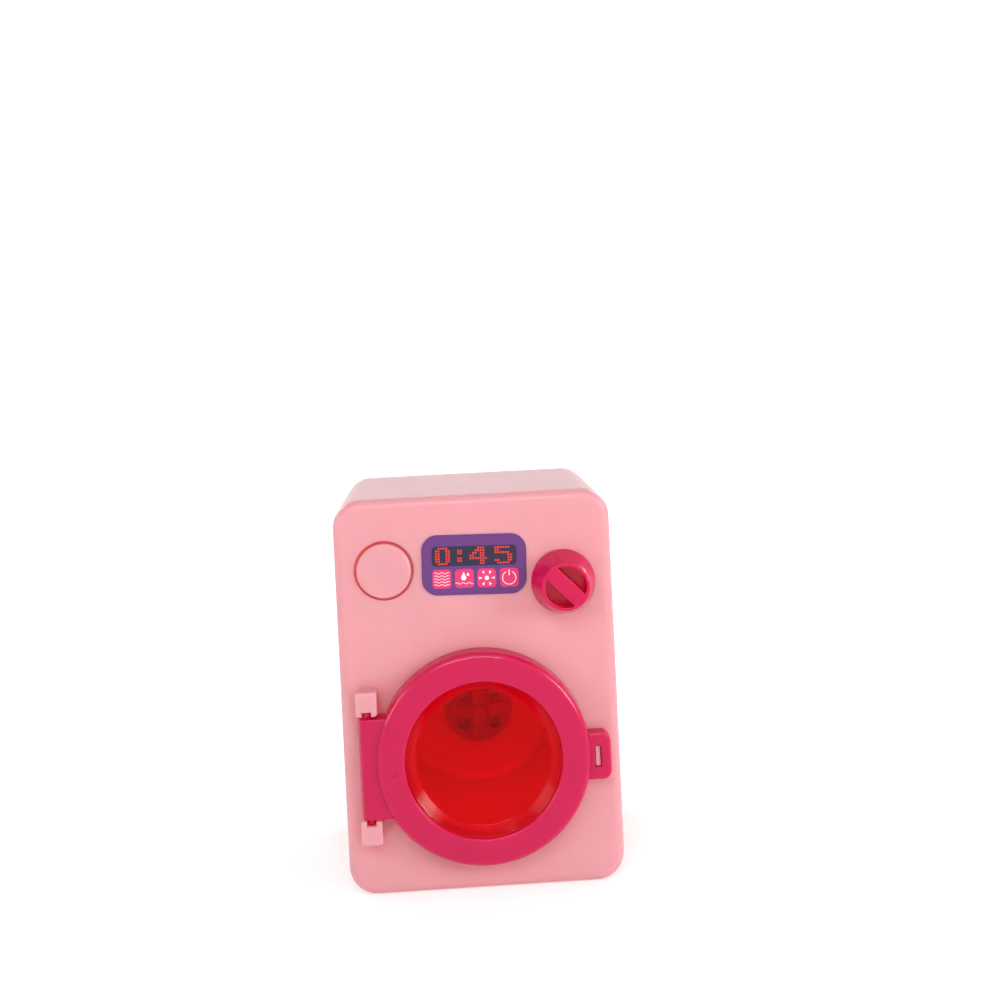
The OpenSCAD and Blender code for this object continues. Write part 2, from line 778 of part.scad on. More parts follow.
module gear_plate() {
    drum_xz = [door_x, door_z];
    knob_xz = [knob_x, knob_z];
    color("white") difference() {
        panel(plate_rear) linear_extrude(plate_t) {
            translate(drum_xz) circle(tub_post_pitch + post_r + plate_rim);
            plate_arm(drum_xz, knob_xz, arm_w, arm_w / 2);
            for (angle = case_post_angles)
                plate_arm(knob_xz, knob_xz + polar(case_post_pitch, angle), post_arm_w, post_r + plate_rim);
        }
        disc(door_x, door_z, shaft_r + run_gap, plate_front - EPS, plate_rear + EPS);
        disc(knob_x, knob_z, shaft_r + run_gap, plate_front - EPS, plate_rear + EPS);
        disc(idler_xz[0], idler_xz[1], shaft_r + seat_gap, plate_front - EPS, plate_rear + EPS);
        at_tub_posts(plate_rear) pass_hole(plate_t);
        at_case_posts(plate_rear) pass_hole(plate_t);
    }
}

module plate_screws() {
    color("silver") {
        at_tub_posts(plate_rear) screw(plate_t + post_bite);
        at_case_posts(plate_rear) screw(plate_t + post_bite);
    }
}

// ---------- tub and pulsator ----------

module tub() {
    color([0.90, 0.30, 0.32]) difference() {
        union() {
            turned(door_x, door_z) translate([0, -tub_end]) square([tub_out, tub_end - tub_front]);
            at_tub_ears(ear_depth + ear_t) linear_extrude(ear_t) {
                circle(ear_r);
                translate([tub_r + EPS - ear_pitch, -ear_r]) square([ear_pitch - tub_r - EPS, 2 * ear_r]);
            }
            at_tub_posts(plate_front) cylinder(r = post_r, h = plate_front - tub_end + EPS);
        }
        turned(door_x, door_z) mirror([0, 1])
            topped(0, tub_r, 0, tub_end - tub_wall, 0, tub_corner_r);
        disc(door_x, door_z, tub_bush_r + seat_gap, tub_end - tub_wall - EPS, tub_end + EPS);
        at_tub_ears(ear_depth + ear_t) pass_hole(ear_t);
        at_tub_posts(plate_front) bite_hole(post_bite);
    }
}

module tub_screws() {
    color("silver") at_tub_ears(ear_depth + ear_t) screw(ear_t + ear_bite);
}

module tub_bush() {
    color("white") difference() {
        union() {
            disc(door_x, door_z, tub_bush_r, tub_end - tub_wall, tub_end);
            disc(door_x, door_z, tub_bush_flange_r, tub_end, tub_end + bush_flange);
        }
        disc(door_x, door_z, shaft_r + run_gap, tub_end - tub_wall - EPS, tub_end + bush_flange + EPS);
    }
}

// Section of a vane along its length, from the axis outwards
module vane_profile() {
    polygon([[0, -EPS], [pulsator_r - vane_foot, -EPS], [pulsator_r - vane_foot, 0],
        [pulsator_r - 2 * vane_foot, vane_foot], [cone_tip_r, vane_h], [0, vane_h]]);
}

module pulsator() {
    color([0.80, 0.12, 0.20]) difference() {
        union() {
            turned(door_x, door_z) {
                translate([0, -pulsator_rear]) topped(0, pulsator_r, 0, pulsator_t, 0, pulsator_edge);
                translate([0, -pulsator_front]) polygon([[0, -EPS], [cone_root_r, -EPS],
                    [cone_root_r, 0], [cone_tip_r, cone_h], [0, cone_h]]);
            }
            for (i = [0:3]) panel(pulsator_front) translate([door_x, door_z, 0]) rotate(90 * i)
                translate([0, vane_w / 2, 0]) rotate([90, 0, 0]) linear_extrude(vane_w) vane_profile();
        }
        for (i = [0:3]) panel(pulsator_rear + EPS) translate([door_x, door_z, 0])
            rotate(45 + 90 * i) translate([drain_pitch, 0, 0])
                cylinder(r = drain_r, h = pulsator_t + 2 * EPS);
        panel(pulsator_rear + EPS) translate([door_x, door_z, 0])
            linear_extrude(pulsator_rear + EPS - shaft_front) d_section(seat_gap);
    }
}

module drum_shaft() {
    color("silver") panel(shaft_end) translate([door_x, door_z, 0])
        linear_extrude(shaft_end - shaft_front - under_gap) d_section();
}

// ---------- door ----------

module door_ring() {
    color([0.86, 0.18, 0.40]) difference() {
        union() {
            turned(door_x, door_z) difference() {
                topped(lip_r, ring_r, door_gap, ring_proud, lip_edge, ring_edge);
                translate([lip_r - EPS, 0]) square([ring_out - lip_r + EPS, front_under]);
            }
            at_clamp_screws() translate([0, 0, clamp_t])
                cylinder(r = clamp_boss_r, h = front_under + EPS - clamp_rear - clamp_t);
            hinge_plate();
            latch_plate();
        }
        at_clamp_screws() bite_hole(clamp_t + clamp_bite, under_gap);
        gate_mark();
        translate([hinge_x, front_y - hinge_proud, hinge_z - knuckle_h / 2 - EPS])
            cylinder(r = pin_r + seat_gap, h = knuckle_h + 2 * EPS);
        panel(EPS) translate([slot_x, latch_z, 0])
            linear_extrude(latch_proud + 2 * EPS) square([slot_w, slot_h], center = true);
    }
}

// Shallow dimple where the mould was filled
module gate_mark() {
    panel(gate_depth - ring_proud) translate([door_x, door_z, 0]) rotate(gate_angle)
        translate([(lip_r + ring_r) / 2 - gate_r, 0, 0]) cylinder(r = gate_r, h = gate_depth + EPS);
}

// Clear space inside the ring, kept free by the plates beside it
module ring_space() {
    panel(EPS) translate([door_x, door_z, 0]) cylinder(r = ring_out + EPS, h = ring_proud + 2 * EPS);
}

// Plate with the rolled knuckle, from the pin to the ring's wall
module hinge_plate() {
    low = hinge_z - knuckle_h / 2;
    front = hinge_proud + knuckle_r;
    reach = door_x - hinge_x;
    difference() {
        translate([hinge_x, front_y, 0]) {
            translate([0, 0, low]) linear_extrude(knuckle_h) mirror([0, 1]) {
                translate([0, hinge_proud]) circle(knuckle_r);
                translate([0, front - hinge_t]) square([reach, hinge_t]);
            }
            for (z = [low, low + knuckle_h - hinge_rib])
                translate([0, 0, z]) linear_extrude(hinge_rib) mirror([0, 1])
                    translate([0, door_gap]) square([reach, front - door_gap]);
        }
        ring_space();
    }
}

// Plate with the latch slot, from the ring's wall to its rounded end
module latch_plate() {
    difference() {
        panel(-door_gap) translate([(door_x + latch_x) / 2, latch_z, 0])
            rounded_slab(latch_x - door_x, latch_h, latch_proud - door_gap, latch_r, latch_edge);
        ring_space();
    }
}

// Points of an arc that rounds the corner at b between its lines to a and c
function bend(a, b, c, r, steps = 8) = let(
        to_a = (a - b) / norm(a - b),
        to_c = (c - b) / norm(c - b),
        half = acos(to_a * to_c) / 2,
        mid = b + (to_a + to_c) / norm(to_a + to_c) * r / sin(half),
        first = b + to_a * r / tan(half) - mid,
        last = b + to_c * r / tan(half) - mid)
    [for (s = [0:steps]) let(way = first * (steps - s) + last * s) mid + r * way / norm(way)];

module door_window() {
    color([0.90, 0.10, 0.12, 0.6]) turned(door_x, door_z)
        polygon([[0, pane_rear], slope_foot, slope_top,
            [flange_out, flange_rear], [flange_out, flange_front],
            [rim_out, flange_front], [rim_out, rim_front], [rim_in, rim_front],
            each bend([rim_in, rim_front], [pane_r, pane_front], [0, pane_front], pane_bend),
            [0, pane_front]]);
}

// Ring behind the window's flange, with a thin lip behind the window's slope
module window_clamp() {
    slope = slope_top - slope_foot;
    lip_front = pane_rear + (clamp_in - slope_foot[0]) * slope[1] / slope[0] - under_gap;
    color([0.86, 0.18, 0.40]) difference() {
        turned(door_x, door_z) polygon([[clamp_in, clamp_rear], [clamp_out, clamp_rear],
            [clamp_out, flange_rear], slope_top, [clamp_in, lip_front]]);
        at_clamp_screws() pass_hole(clamp_t);
    }
}

module clamp_screws() {
    color("silver") at_clamp_screws() screw(clamp_t + clamp_bite);
}

module hinge_pin() {
    foot = lug_z[0] - lug_h + pin_end_gap;
    color([0.86, 0.18, 0.40]) translate([hinge_x, front_y - hinge_proud, foot])
        cylinder(r = pin_r, h = pin_top - run_gap - foot);
}

front_shell();
back_cover();
case_screws();
display_label();
button();
button_spring();
button_retainer();
retainer_screws();
knob();
knob_bush();
knob_clip();
knob_shaft();
knob_gear();
door_ring();
door_window();
window_clamp();
clamp_screws();
hinge_pin();
tub();
tub_screws();
tub_bush();
pulsator();
drum_shaft();
drum_gear();
idler_gear();
idler_axle();
gear_plate();
plate_screws();
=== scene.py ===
"""Looks of a toy washing machine: finishes for the CAD parts, the printed label and a studio.

Lengths are in metres, unless a comment says millimetres.
"""

import math

import bmesh
import bpy
from mathutils import Euler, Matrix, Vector


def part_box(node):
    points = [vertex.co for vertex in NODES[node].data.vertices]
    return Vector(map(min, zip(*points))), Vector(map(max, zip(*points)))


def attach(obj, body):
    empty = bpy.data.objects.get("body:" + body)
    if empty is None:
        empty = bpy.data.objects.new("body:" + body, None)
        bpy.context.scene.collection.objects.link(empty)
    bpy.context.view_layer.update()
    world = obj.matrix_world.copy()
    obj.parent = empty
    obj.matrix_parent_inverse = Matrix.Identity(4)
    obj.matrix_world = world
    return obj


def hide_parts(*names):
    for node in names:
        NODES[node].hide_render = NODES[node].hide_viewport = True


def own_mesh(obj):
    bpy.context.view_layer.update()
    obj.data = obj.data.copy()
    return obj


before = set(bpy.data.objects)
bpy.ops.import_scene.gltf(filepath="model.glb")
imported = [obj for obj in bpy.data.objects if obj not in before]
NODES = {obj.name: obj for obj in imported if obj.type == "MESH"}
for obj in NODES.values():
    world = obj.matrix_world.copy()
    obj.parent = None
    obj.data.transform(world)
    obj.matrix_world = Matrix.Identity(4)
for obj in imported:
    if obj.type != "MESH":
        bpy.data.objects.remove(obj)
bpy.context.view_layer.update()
MM = 0.001

# Colours as they look, in sRGB from 0 to 255
PINK = (227, 161, 168)
MAGENTA = (201, 4, 80)
RED_TUB = (255, 92, 64)
# The pulsator's red is darker than the tub's: painted shade for the back of the tub
SHADED_VANE_RED = (206, 34, 50)
WINDOW_RED = (255, 84, 132)
PURPLE = (101, 49, 120)
NAVY = (33, 25, 58)
DIGIT_RED = (222, 54, 32)
TILE_PINK = (226, 50, 112)
WHITE_PRINT = (244, 236, 238)
NATURAL_WHITE = (232, 231, 226)
IVORY = (240, 226, 190)
STEEL = (190, 190, 194)
DUST = (255, 240, 240)

# Colours of the light that has passed through a wall of each plastic
THROUGH_PINK = (246, 170, 166)
THROUGH_MAGENTA = (240, 60, 130)
THROUGH_TUB = (255, 120, 110)
THROUGH_WINDOW = (255, 150, 190)


# ---------- node trees ----------

# Kinds of ray, as the Light Path node names them
SEEN_DIRECTLY = ("Is Camera Ray", "Is Glossy Ray", "Is Transmission Ray")
BRINGS_LIGHT = ("Is Shadow Ray", "Is Diffuse Ray")


def linear(colour):
    """An sRGB colour from 0 to 255 as a linear one with alpha."""
    parts = [c / 255 for c in colour]
    return [p / 12.92 if p <= 0.04045 else ((p + 0.055) / 1.055) ** 2.4 for p in parts] + [1.0]


def shade(colour, factor):
    """A linear colour made lighter or darker."""
    return [min(c * factor, 1.0) for c in colour[:3]] + [1.0]


def any_ray(tree, kinds):
    """1 for a ray of any of these kinds, else 0."""
    path = tree.nodes.new("ShaderNodeLightPath")
    total = path.outputs[kinds[0]]
    for kind in kinds[1:]:
        either = tree.nodes.new("ShaderNodeMath")
        either.operation = "MAXIMUM"
        tree.links.new(total, either.inputs[0])
        tree.links.new(path.outputs[kind], either.inputs[1])
        total = either.outputs["Value"]
    return total


class Nodes:
    """A material's node tree, with short calls to add and link its nodes."""

    def __init__(self, name):
        self.material = bpy.data.materials.new(name)
        self.material.use_nodes = True
        self.tree = self.material.node_tree
        self.tree.nodes.clear()
        self.output = self.add("ShaderNodeOutputMaterial")

    def add(self, kind, **values):
        """A new node. A value goes to the input of its name, or else to the setting."""
        node = self.tree.nodes.new(kind)
        for key, value in values.items():
            if key in node.inputs:
                node.inputs[key].default_value = value
            else:
                setattr(node, key, value)
        return node

    def link(self, source, target):
        self.tree.links.new(source, target)

    def place(self):
        """The point's place in the part's own frame."""
        return self.add("ShaderNodeTexCoord").outputs["Object"]

    def noise(self, size, detail, stretch=None):
        """Noise with features of about this size."""
        place = self.place()
        if stretch:
            mapping = self.add("ShaderNodeMapping", Scale=stretch)
            self.link(place, mapping.inputs["Vector"])
            place = mapping.outputs["Vector"]
        texture = self.add("ShaderNodeTexNoise", Scale=1 / size, Detail=detail)
        self.link(place, texture.inputs["Vector"])
        return texture.outputs["Fac"]

    def ramp(self, source, low, high, start=0.3, end=0.7):
        """A value mapped from a source's start and end to low and high."""
        remap = self.add("ShaderNodeMapRange")
        limits = (("From Min", start), ("From Max", end), ("To Min", low), ("To Max", high))
        for name, value in limits:
            remap.inputs[name].default_value = value
        self.link(source, remap.inputs["Value"])
        return remap.outputs["Result"]

    def product(self, first, second):
        """Two outputs multiplied, or an output and a number."""
        multiply = self.add("ShaderNodeMath", operation="MULTIPLY")
        self.link(first, multiply.inputs[0])
        if isinstance(second, bpy.types.NodeSocket):
            self.link(second, multiply.inputs[1])
        else:
            multiply.inputs[1].default_value = second
        return multiply.outputs["Value"]

    def blend(self, factor, first, second):
        """Two linear colours mixed by a factor. The first may be an output that carries one."""
        mix = self.add("ShaderNodeMix", data_type="RGBA")
        self.link(factor, mix.inputs["Factor"])
        colour_a, colour_b = mix.inputs[6], mix.inputs[7]
        if isinstance(first, bpy.types.NodeSocket):
            self.link(first, colour_a)
        else:
            colour_a.default_value = first
        colour_b.default_value = second
        return mix.outputs[2]

    def mixed(self, factor, first, second):
        """Two shader nodes mixed by a factor."""
        mix = self.add("ShaderNodeMixShader")
        self.link(factor, mix.inputs["Fac"])
        self.link(first.outputs[0], mix.inputs[1])
        self.link(second.outputs[0], mix.inputs[2])
        return mix

    def bump(self, height, strength, distance, normal=None):
        """A normal bent by a height, on top of another normal if one is given."""
        node = self.add("ShaderNodeBump", Strength=strength, Distance=distance)
        self.link(height, node.inputs["Height"])
        if normal:
            self.link(normal, node.inputs["Normal"])
        return node.outputs["Normal"]

    def finish(self, shader):
        """The material, with this shader node as its surface."""
        self.link(shader.outputs[0], self.output.inputs["Surface"])
        return self.material


# ---------- materials ----------

SPECK_CELL = 0.006
SPECK_SIZE = 0.00013
GLOW_REACH = (1.0, 0.28, 0.22)  # how far red, green and blue light spreads, against the depth
WINDOW_IOR = 1.18


def flecks(nodes, cell, size, share):
    """A mask of small round specks: one at most in each cell, in a share of the cells."""
    texture = nodes.add("ShaderNodeTexVoronoi", Scale=1 / cell)
    nodes.link(nodes.place(), texture.inputs["Vector"])
    split = nodes.add("ShaderNodeSeparateColor")
    nodes.link(texture.outputs["Color"], split.inputs["Color"])
    near = nodes.ramp(texture.outputs["Distance"], 1, 0, start=size / cell * 0.6, end=size / cell)
    chosen = nodes.ramp(split.outputs["Red"], 0, 1, start=1 - share, end=1 - share + 0.01)
    return nodes.product(near, chosen)


def let_light_through(nodes, shader, tint, share):
    """The same surface, of which a share of the light passes through, tinted."""
    through = nodes.add("ShaderNodeBsdfTransparent", Color=linear(tint))
    passing = nodes.product(any_ray(nodes.tree, BRINGS_LIGHT), share)
    return nodes.finish(nodes.mixed(passing, shader, through))


def plastic(name, colour, roughness, edge, gloss=0.35, glow=0.0, glow_depth=0.0,
            grain=0.0, dust=0.0, tint=None, share=0.0):
    """Moulded plastic: slow colour drift, a faint sink of the surface, softened edges and dust.

    edge is the radius that the edges seem to have, glow and glow_depth are the part of the
    light that spreads below the surface and how far it does, grain is extra fine bump, and
    dust is the share of cells with a speck. With a tint, a share of the light passes through.
    """
    nodes = Nodes(name)
    base = linear(colour)
    drift = nodes.ramp(nodes.noise(size=0.03, detail=3), 0, 1)
    tone = nodes.blend(drift, shade(base, 0.965), shade(base, 1.03))
    if dust:
        tone = nodes.blend(flecks(nodes, SPECK_CELL, SPECK_SIZE, dust), tone, linear(DUST))
    shader = nodes.add("ShaderNodeBsdfPrincipled")
    nodes.link(tone, shader.inputs["Base Color"])
    rough = nodes.ramp(nodes.noise(size=0.008, detail=3), roughness * 0.85, roughness * 1.1)
    nodes.link(rough, shader.inputs["Roughness"])
    soft_edge = nodes.add("ShaderNodeBevel", samples=6, Radius=edge).outputs["Normal"]
    sink = nodes.bump(nodes.noise(size=0.02, detail=1), 0.25, 0.0003, soft_edge)
    normal = nodes.bump(nodes.noise(size=0.0008, detail=2), 0.03 + grain, 0.00005, sink)
    nodes.link(normal, shader.inputs["Normal"])
    if glow:
        shader.inputs["Subsurface Weight"].default_value = glow
        shader.inputs["Subsurface Scale"].default_value = glow_depth
        shader.inputs["Subsurface Radius"].default_value = GLOW_REACH
    shader.inputs["Specular IOR Level"].default_value = gloss
    if tint:
        return let_light_through(nodes, shader, tint, share)
    return nodes.finish(shader)


def clear_plastic(name, colour):
    """Clear tinted plastic that lets the lamps light what is behind it."""
    nodes = Nodes(name)
    glass = nodes.add("ShaderNodeBsdfPrincipled", IOR=WINDOW_IOR)
    glass.inputs["Base Color"].default_value = linear(colour)
    glass.inputs["Transmission Weight"].default_value = 1.0
    rough = nodes.ramp(nodes.noise(size=0.01, detail=3), 0.07, 0.12)
    nodes.link(rough, glass.inputs["Roughness"])
    ripple = nodes.bump(nodes.noise(size=0.012, detail=1), 0.12, 0.0002)
    nodes.link(ripple, glass.inputs["Normal"])
    return let_light_through(nodes, glass, THROUGH_WINDOW, 1)


def steel(name):
    """Zinc-plated steel with fine turning marks."""
    nodes = Nodes(name)
    base = linear(STEEL)
    shader = nodes.add("ShaderNodeBsdfPrincipled", Metallic=1.0)
    cloud = nodes.ramp(nodes.noise(size=0.002, detail=4), 0, 1)
    tone = nodes.blend(cloud, shade(base, 0.85), shade(base, 1.1))
    nodes.link(tone, shader.inputs["Base Color"])
    marks = nodes.noise(size=0.0003, detail=2, stretch=(1, 0.1, 1))
    nodes.link(nodes.ramp(marks, 0.29, 0.42), shader.inputs["Roughness"])
    nodes.link(nodes.bump(marks, 0.1, 0.00003), shader.inputs["Normal"])
    return nodes.finish(shader)


def printed(name, colour, roughness=0.38):
    """Ink on vinyl: a fine print screen, a soft sheen and a faint orange peel."""
    nodes = Nodes(name)
    base = linear(colour)
    shader = nodes.add("ShaderNodeBsdfPrincipled")
    mottle = nodes.ramp(nodes.noise(size=0.0012, detail=3), 0, 1)
    tone = nodes.blend(mottle, shade(base, 0.93), shade(base, 1.06))
    nodes.link(tone, shader.inputs["Base Color"])
    rough = nodes.ramp(nodes.noise(size=0.004, detail=2), roughness * 0.9, roughness * 1.15)
    nodes.link(rough, shader.inputs["Roughness"])
    peel = nodes.bump(nodes.noise(size=0.0005, detail=2), 0.05, 0.00003)
    nodes.link(peel, shader.inputs["Normal"])
    return nodes.finish(shader)


def paint(material, *names):
    """Gives CAD nodes this material in place of their own."""
    for name in names:
        slots = NODES[name].data.materials
        slots.clear()
        slots.append(material)


def paint_cad_parts():
    pink = plastic("case_pink", PINK, roughness=0.22, edge=0.0004, gloss=0.3,
                   glow=0.7, glow_depth=0.005, dust=0.05, tint=THROUGH_PINK, share=0.9)
    magenta = plastic("door_magenta", MAGENTA, roughness=0.15, edge=0.00045, gloss=0.36,
                      glow=0.8, glow_depth=0.006, dust=0.2, tint=THROUGH_MAGENTA, share=0.7)
    tub_red = plastic("tub_red", RED_TUB, roughness=0.24, edge=0.0003,
                      glow=0.2, glow_depth=0.003, tint=THROUGH_TUB, share=0.75)
    # The pulsator gets a darker red than the tub: painted shade at the back of the tub
    shaded_vane_red = plastic("pulsator_shaded_red", SHADED_VANE_RED, roughness=0.24, edge=0.0003)
    white = plastic("natural_white", NATURAL_WHITE, roughness=0.42, edge=0.0002, grain=0.05)
    ivory = plastic("gear_ivory", IVORY, roughness=0.4, edge=0.0001, grain=0.05)
    paint(pink, "front_shell", "back_cover", "button")
    paint(magenta, "door_ring", "window_clamp", "knob", "hinge_pin")
    paint(clear_plastic("window_clear_red", WINDOW_RED), "door_window")
    paint(tub_red, "tub")
    paint(shaded_vane_red, "pulsator")
    paint(white, "knob_bush", "tub_bush", "gear_plate", "button_retainer")
    paint(ivory, "knob_gear", "idler_gear", "drum_gear")
    paint(printed("label_purple", PURPLE), "display_label")
    paint(steel("zinc_steel"), "case_screws", "retainer_screws", "clamp_screws", "tub_screws",
          "plate_screws", "knob_clip", "knob_shaft", "drum_shaft", "idler_axle", "button_spring")


def new_object(name, mesh, smooth=False):
    """An object in the scene with this bmesh, which is freed."""
    data = bpy.data.meshes.new(name)
    mesh.to_mesh(data)
    mesh.free()
    for face in data.polygons:
        face.use_smooth = smooth
    piece = bpy.data.objects.new(name, data)
    bpy.context.scene.collection.objects.link(piece)
    return piece


# ---------- printed label ----------

LABEL_LOW, LABEL_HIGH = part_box("display_label")
LABEL_MIDDLE = (LABEL_LOW + LABEL_HIGH) / 2
LABEL_TURN = math.radians(-1.5)
INK = 0.02 * MM

# Outlines on the label are in millimetres from its middle, x to the right and z up.
SCREEN_MIDDLE = (0.05, 2.67)
SCREEN_SIZE = (25.6, 6.0)
SCREEN_CORNER = 1.2

DOT_PITCH = 0.78
DOT_SIZE = 0.63
DOT_CORNER = DOT_SIZE * 0.35
DIGITS_LEFT = -11.4
DIGITS_TOP = 5.05
DIGIT_ROWS = {
    "0": (".####.", "##..##", "##..##", "##..##", "##..##", "##..##", ".####."),
    ":": ("..", "##", "##", "..", "##", "##", ".."),
    "4": ("...###.", "..####.", ".##.##.", "##..##.", "#######", "....##.", "....##."),
    "5": ("######.", "##.....", "######.", ".....##", ".....##", "##...##", ".#####."),
}
DISPLAY = (("0", 0), (":", 8.6), ("4", 13.3), ("5", 23))  # each mark and its first column

TILE_SIZE = 5.7
TILE_CORNER = 1.15
TILE_PITCH = 6.77
TILE_X = -9.79
TILE_Y = -4.15


def arc(centre, radius, start, end, steps=10):
    """Points on an arc from one angle to another, in degrees."""
    turns = [math.radians(start + (end - start) * i / steps) for i in range(steps + 1)]
    return [(centre[0] + radius * math.cos(t), centre[1] + radius * math.sin(t)) for t in turns]


def rounded(centre, width, height, radius, steps=6):
    """Outline of a rectangle with round corners."""
    x, y = width / 2 - radius, height / 2 - radius
    corners = ((x, y, 0), (-x, y, 90), (-x, -y, 180), (x, -y, 270))
    return [p for cx, cy, turn in corners
            for p in arc((centre[0] + cx, centre[1] + cy), radius, turn, turn + 90, steps)]


def stroke(points, width):
    """Outline of a line of this width along the points."""
    left, right = [], []
    for i, point in enumerate(points):
        before, after = points[max(i - 1, 0)], points[min(i + 1, len(points) - 1)]
        along = Vector((after[0] - before[0], after[1] - before[1])).normalized()
        side = Vector((-along.y, along.x)) * width / 2
        left.append((point[0] + side.x, point[1] + side.y))
        right.append((point[0] - side.x, point[1] - side.y))
    return right + left[::-1]


def wave(reach, height, swing, width):
    """A wavy line from -reach to reach."""
    steps, period = 40, 1.85
    xs = [-reach + 2 * reach * i / steps for i in range(steps + 1)]
    points = [(x, height + swing * math.sin((x + reach) / period * math.tau)) for x in xs]
    return stroke(points, width)


def drop(centre, width, height):
    """A water drop with its point up."""
    radius = width / 2
    low = centre[1] - height / 2 + radius
    tangent = math.degrees(math.asin(radius / (height - radius)))
    belly = arc((centre[0], low), radius, 180 - tangent, 360 + tangent, 14)
    return belly + [(centre[0], centre[1] + height / 2)]


def snow_mark(hub=0.68, inner=1.3, outer=2.35, half_foot=0.42):
    """A hub with six wedges that point at it."""
    marks = [arc((0, 0), hub, 0, 360, 18)[:-1]]
    for i in range(6):
        turn = math.radians(60 * i)
        along = Vector((math.cos(turn), math.sin(turn)))
        side = Vector((-math.sin(turn), math.cos(turn)))
        tip, foot = along * inner, along * outer
        marks.append([tuple(tip), tuple(foot + side * half_foot), tuple(foot - side * half_foot)])
    return marks


def icon_shapes():
    """White shapes of the four icons, each about the middle of its tile."""
    waves = [wave(reach=2.3, height=1.75 - 0.9 * i, swing=0.2, width=0.17) for i in range(5)]
    water = [drop((-0.2, 0.7), width=1.6, height=2.6), drop((1.1, 1.3), width=0.75, height=1.15),
             wave(reach=2.7, height=-1.45, swing=0.2, width=0.18)]
    power = [stroke(arc((0, -0.1), radius=2.0, start=118, end=422, steps=30), width=0.25),
             stroke([(0, 0.6), (0, 2.3)], width=0.3)]
    return waves, water, snow_mark(), power


def digit_dots():
    """Small square dots of the time that the display shows."""
    dots = []
    for digit, column in DISPLAY:
        for row, line in enumerate(DIGIT_ROWS[digit]):
            for step, mark in enumerate(line):
                if mark == "#":
                    place = (DIGITS_LEFT + (column + step) * DOT_PITCH,
                             DIGITS_TOP - row * DOT_PITCH)
                    dots.append(rounded(place, DOT_SIZE, DOT_SIZE, DOT_CORNER, steps=2))
    return dots


def print_layer(name, outlines, level, material):
    """Thin ink shapes on the label, on top of this many layers of ink."""
    cosine, sine = math.cos(LABEL_TURN), math.sin(LABEL_TURN)
    base_y = LABEL_LOW.y - level * INK
    mesh = bmesh.new()
    for outline in outlines:
        back = []
        for x, z in outline:
            across, up = (x * cosine - z * sine) * MM, (x * sine + z * cosine) * MM
            back.append(mesh.verts.new((LABEL_MIDDLE.x + across, base_y, LABEL_MIDDLE.z + up)))
        face = mesh.faces.new(back)
        raised = bmesh.ops.extrude_face_region(mesh, geom=[face])
        moved = [v for v in raised["geom"] if isinstance(v, bmesh.types.BMVert)]
        bmesh.ops.translate(mesh, verts=moved, vec=(0, -INK, 0))
    bmesh.ops.recalc_face_normals(mesh, faces=mesh.faces)
    bmesh.ops.triangulate(mesh, faces=[f for f in mesh.faces if len(f.verts) > 4])
    piece = new_object(name, mesh)
    piece.data.materials.append(material)
    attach(piece, "case")


def make_label():
    screen = rounded(SCREEN_MIDDLE, *SCREEN_SIZE, SCREEN_CORNER)
    tiles = [(TILE_X + TILE_PITCH * i, TILE_Y) for i in range(4)]
    squares = [rounded(place, TILE_SIZE, TILE_SIZE, TILE_CORNER) for place in tiles]
    marks = [[(x + place[0], z + place[1]) for x, z in shape]
             for place, shapes in zip(tiles, icon_shapes()) for shape in shapes]
    print_layer("label_screen", [screen], 0, printed("ink_navy", NAVY, 0.34))
    print_layer("label_digits", digit_dots(), 1, printed("ink_red", DIGIT_RED, 0.35))
    print_layer("label_tiles", squares, 0, printed("ink_pink", TILE_PINK, 0.35))
    print_layer("label_icons", marks, 1, printed("ink_white", WHITE_PRINT, 0.4))


# ---------- return spring ----------

WIRE_RADIUS = 0.35 * MM
WIRE_SIDES = 12
SPRING_TURNS = 6
STEPS_PER_TURN = 24


def make_spring():
    """A smooth coil in the place of the solid one."""
    low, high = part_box("button_spring")
    middle = (low + high) / 2
    coil_radius = (high.x - low.x) / 2 - WIRE_RADIUS
    length = high.y - low.y
    steps = STEPS_PER_TURN * SPRING_TURNS
    mesh = bmesh.new()
    rings = []
    for step in range(steps + 1):
        turn = math.tau * SPRING_TURNS * step / steps
        depth = low.y + WIRE_RADIUS + (length - 2 * WIRE_RADIUS) * step / steps
        ring = []
        for side in range(WIRE_SIDES):
            angle = math.tau * side / WIRE_SIDES
            reach = coil_radius + WIRE_RADIUS * math.cos(angle)
            ring.append(mesh.verts.new((middle.x + reach * math.cos(turn),
                                        depth + WIRE_RADIUS * math.sin(angle),
                                        middle.z + reach * math.sin(turn))))
        rings.append(ring)
    for first, second in zip(rings, rings[1:]):
        for side in range(WIRE_SIDES):
            mesh.faces.new((first[side - 1], first[side], second[side], second[side - 1]))
    mesh.faces.new(rings[0])
    mesh.faces.new(rings[-1])
    bmesh.ops.recalc_face_normals(mesh, faces=mesh.faces)
    spring = new_object("return_spring", mesh, smooth=True)
    spring.data.materials.append(bpy.data.materials["zinc_steel"])
    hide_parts("button_spring")
    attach(spring, "case")
    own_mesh(spring)


# ---------- studio ----------

CAMERA_AT = (-7.31, -364.29, 166.35)  # in millimetres
CAMERA_TURN = (89.07, 2.77, -1.945)  # in degrees
CAMERA_LENS = 40.03
CAMERA_SENSOR = 36
CAMERA_SHIFT = (0.024, -0.141)
CAMERA_NEAR = 0.01

# Each lamp's name, place, width, height and power in watts
LAMPS = (
    ("right_strip", (0.56, -0.33, 0.2), 0.08, 0.2, 0.75),
    ("left_fill", (-0.6, -0.3, 0.24), 0.3, 0.3, 1.15),
    ("right_fill", (0.56, -0.36, 0.24), 0.3, 0.3, 1.5),
    ("front_softbox", (-0.1, -0.8, 0.74), 0.7, 0.3, 4.15),
    ("back_left_softbox", (-0.58, 0.6, 0.46), 0.4, 0.4, 1.9),
    ("back_right_softbox", (0.58, 0.6, 0.46), 0.4, 0.4, 1.9),
)
LAMP_TARGET = (0, 0, 0.05)
WORLD_LIGHT = 0.31
WORLD_SEEN = 1.0

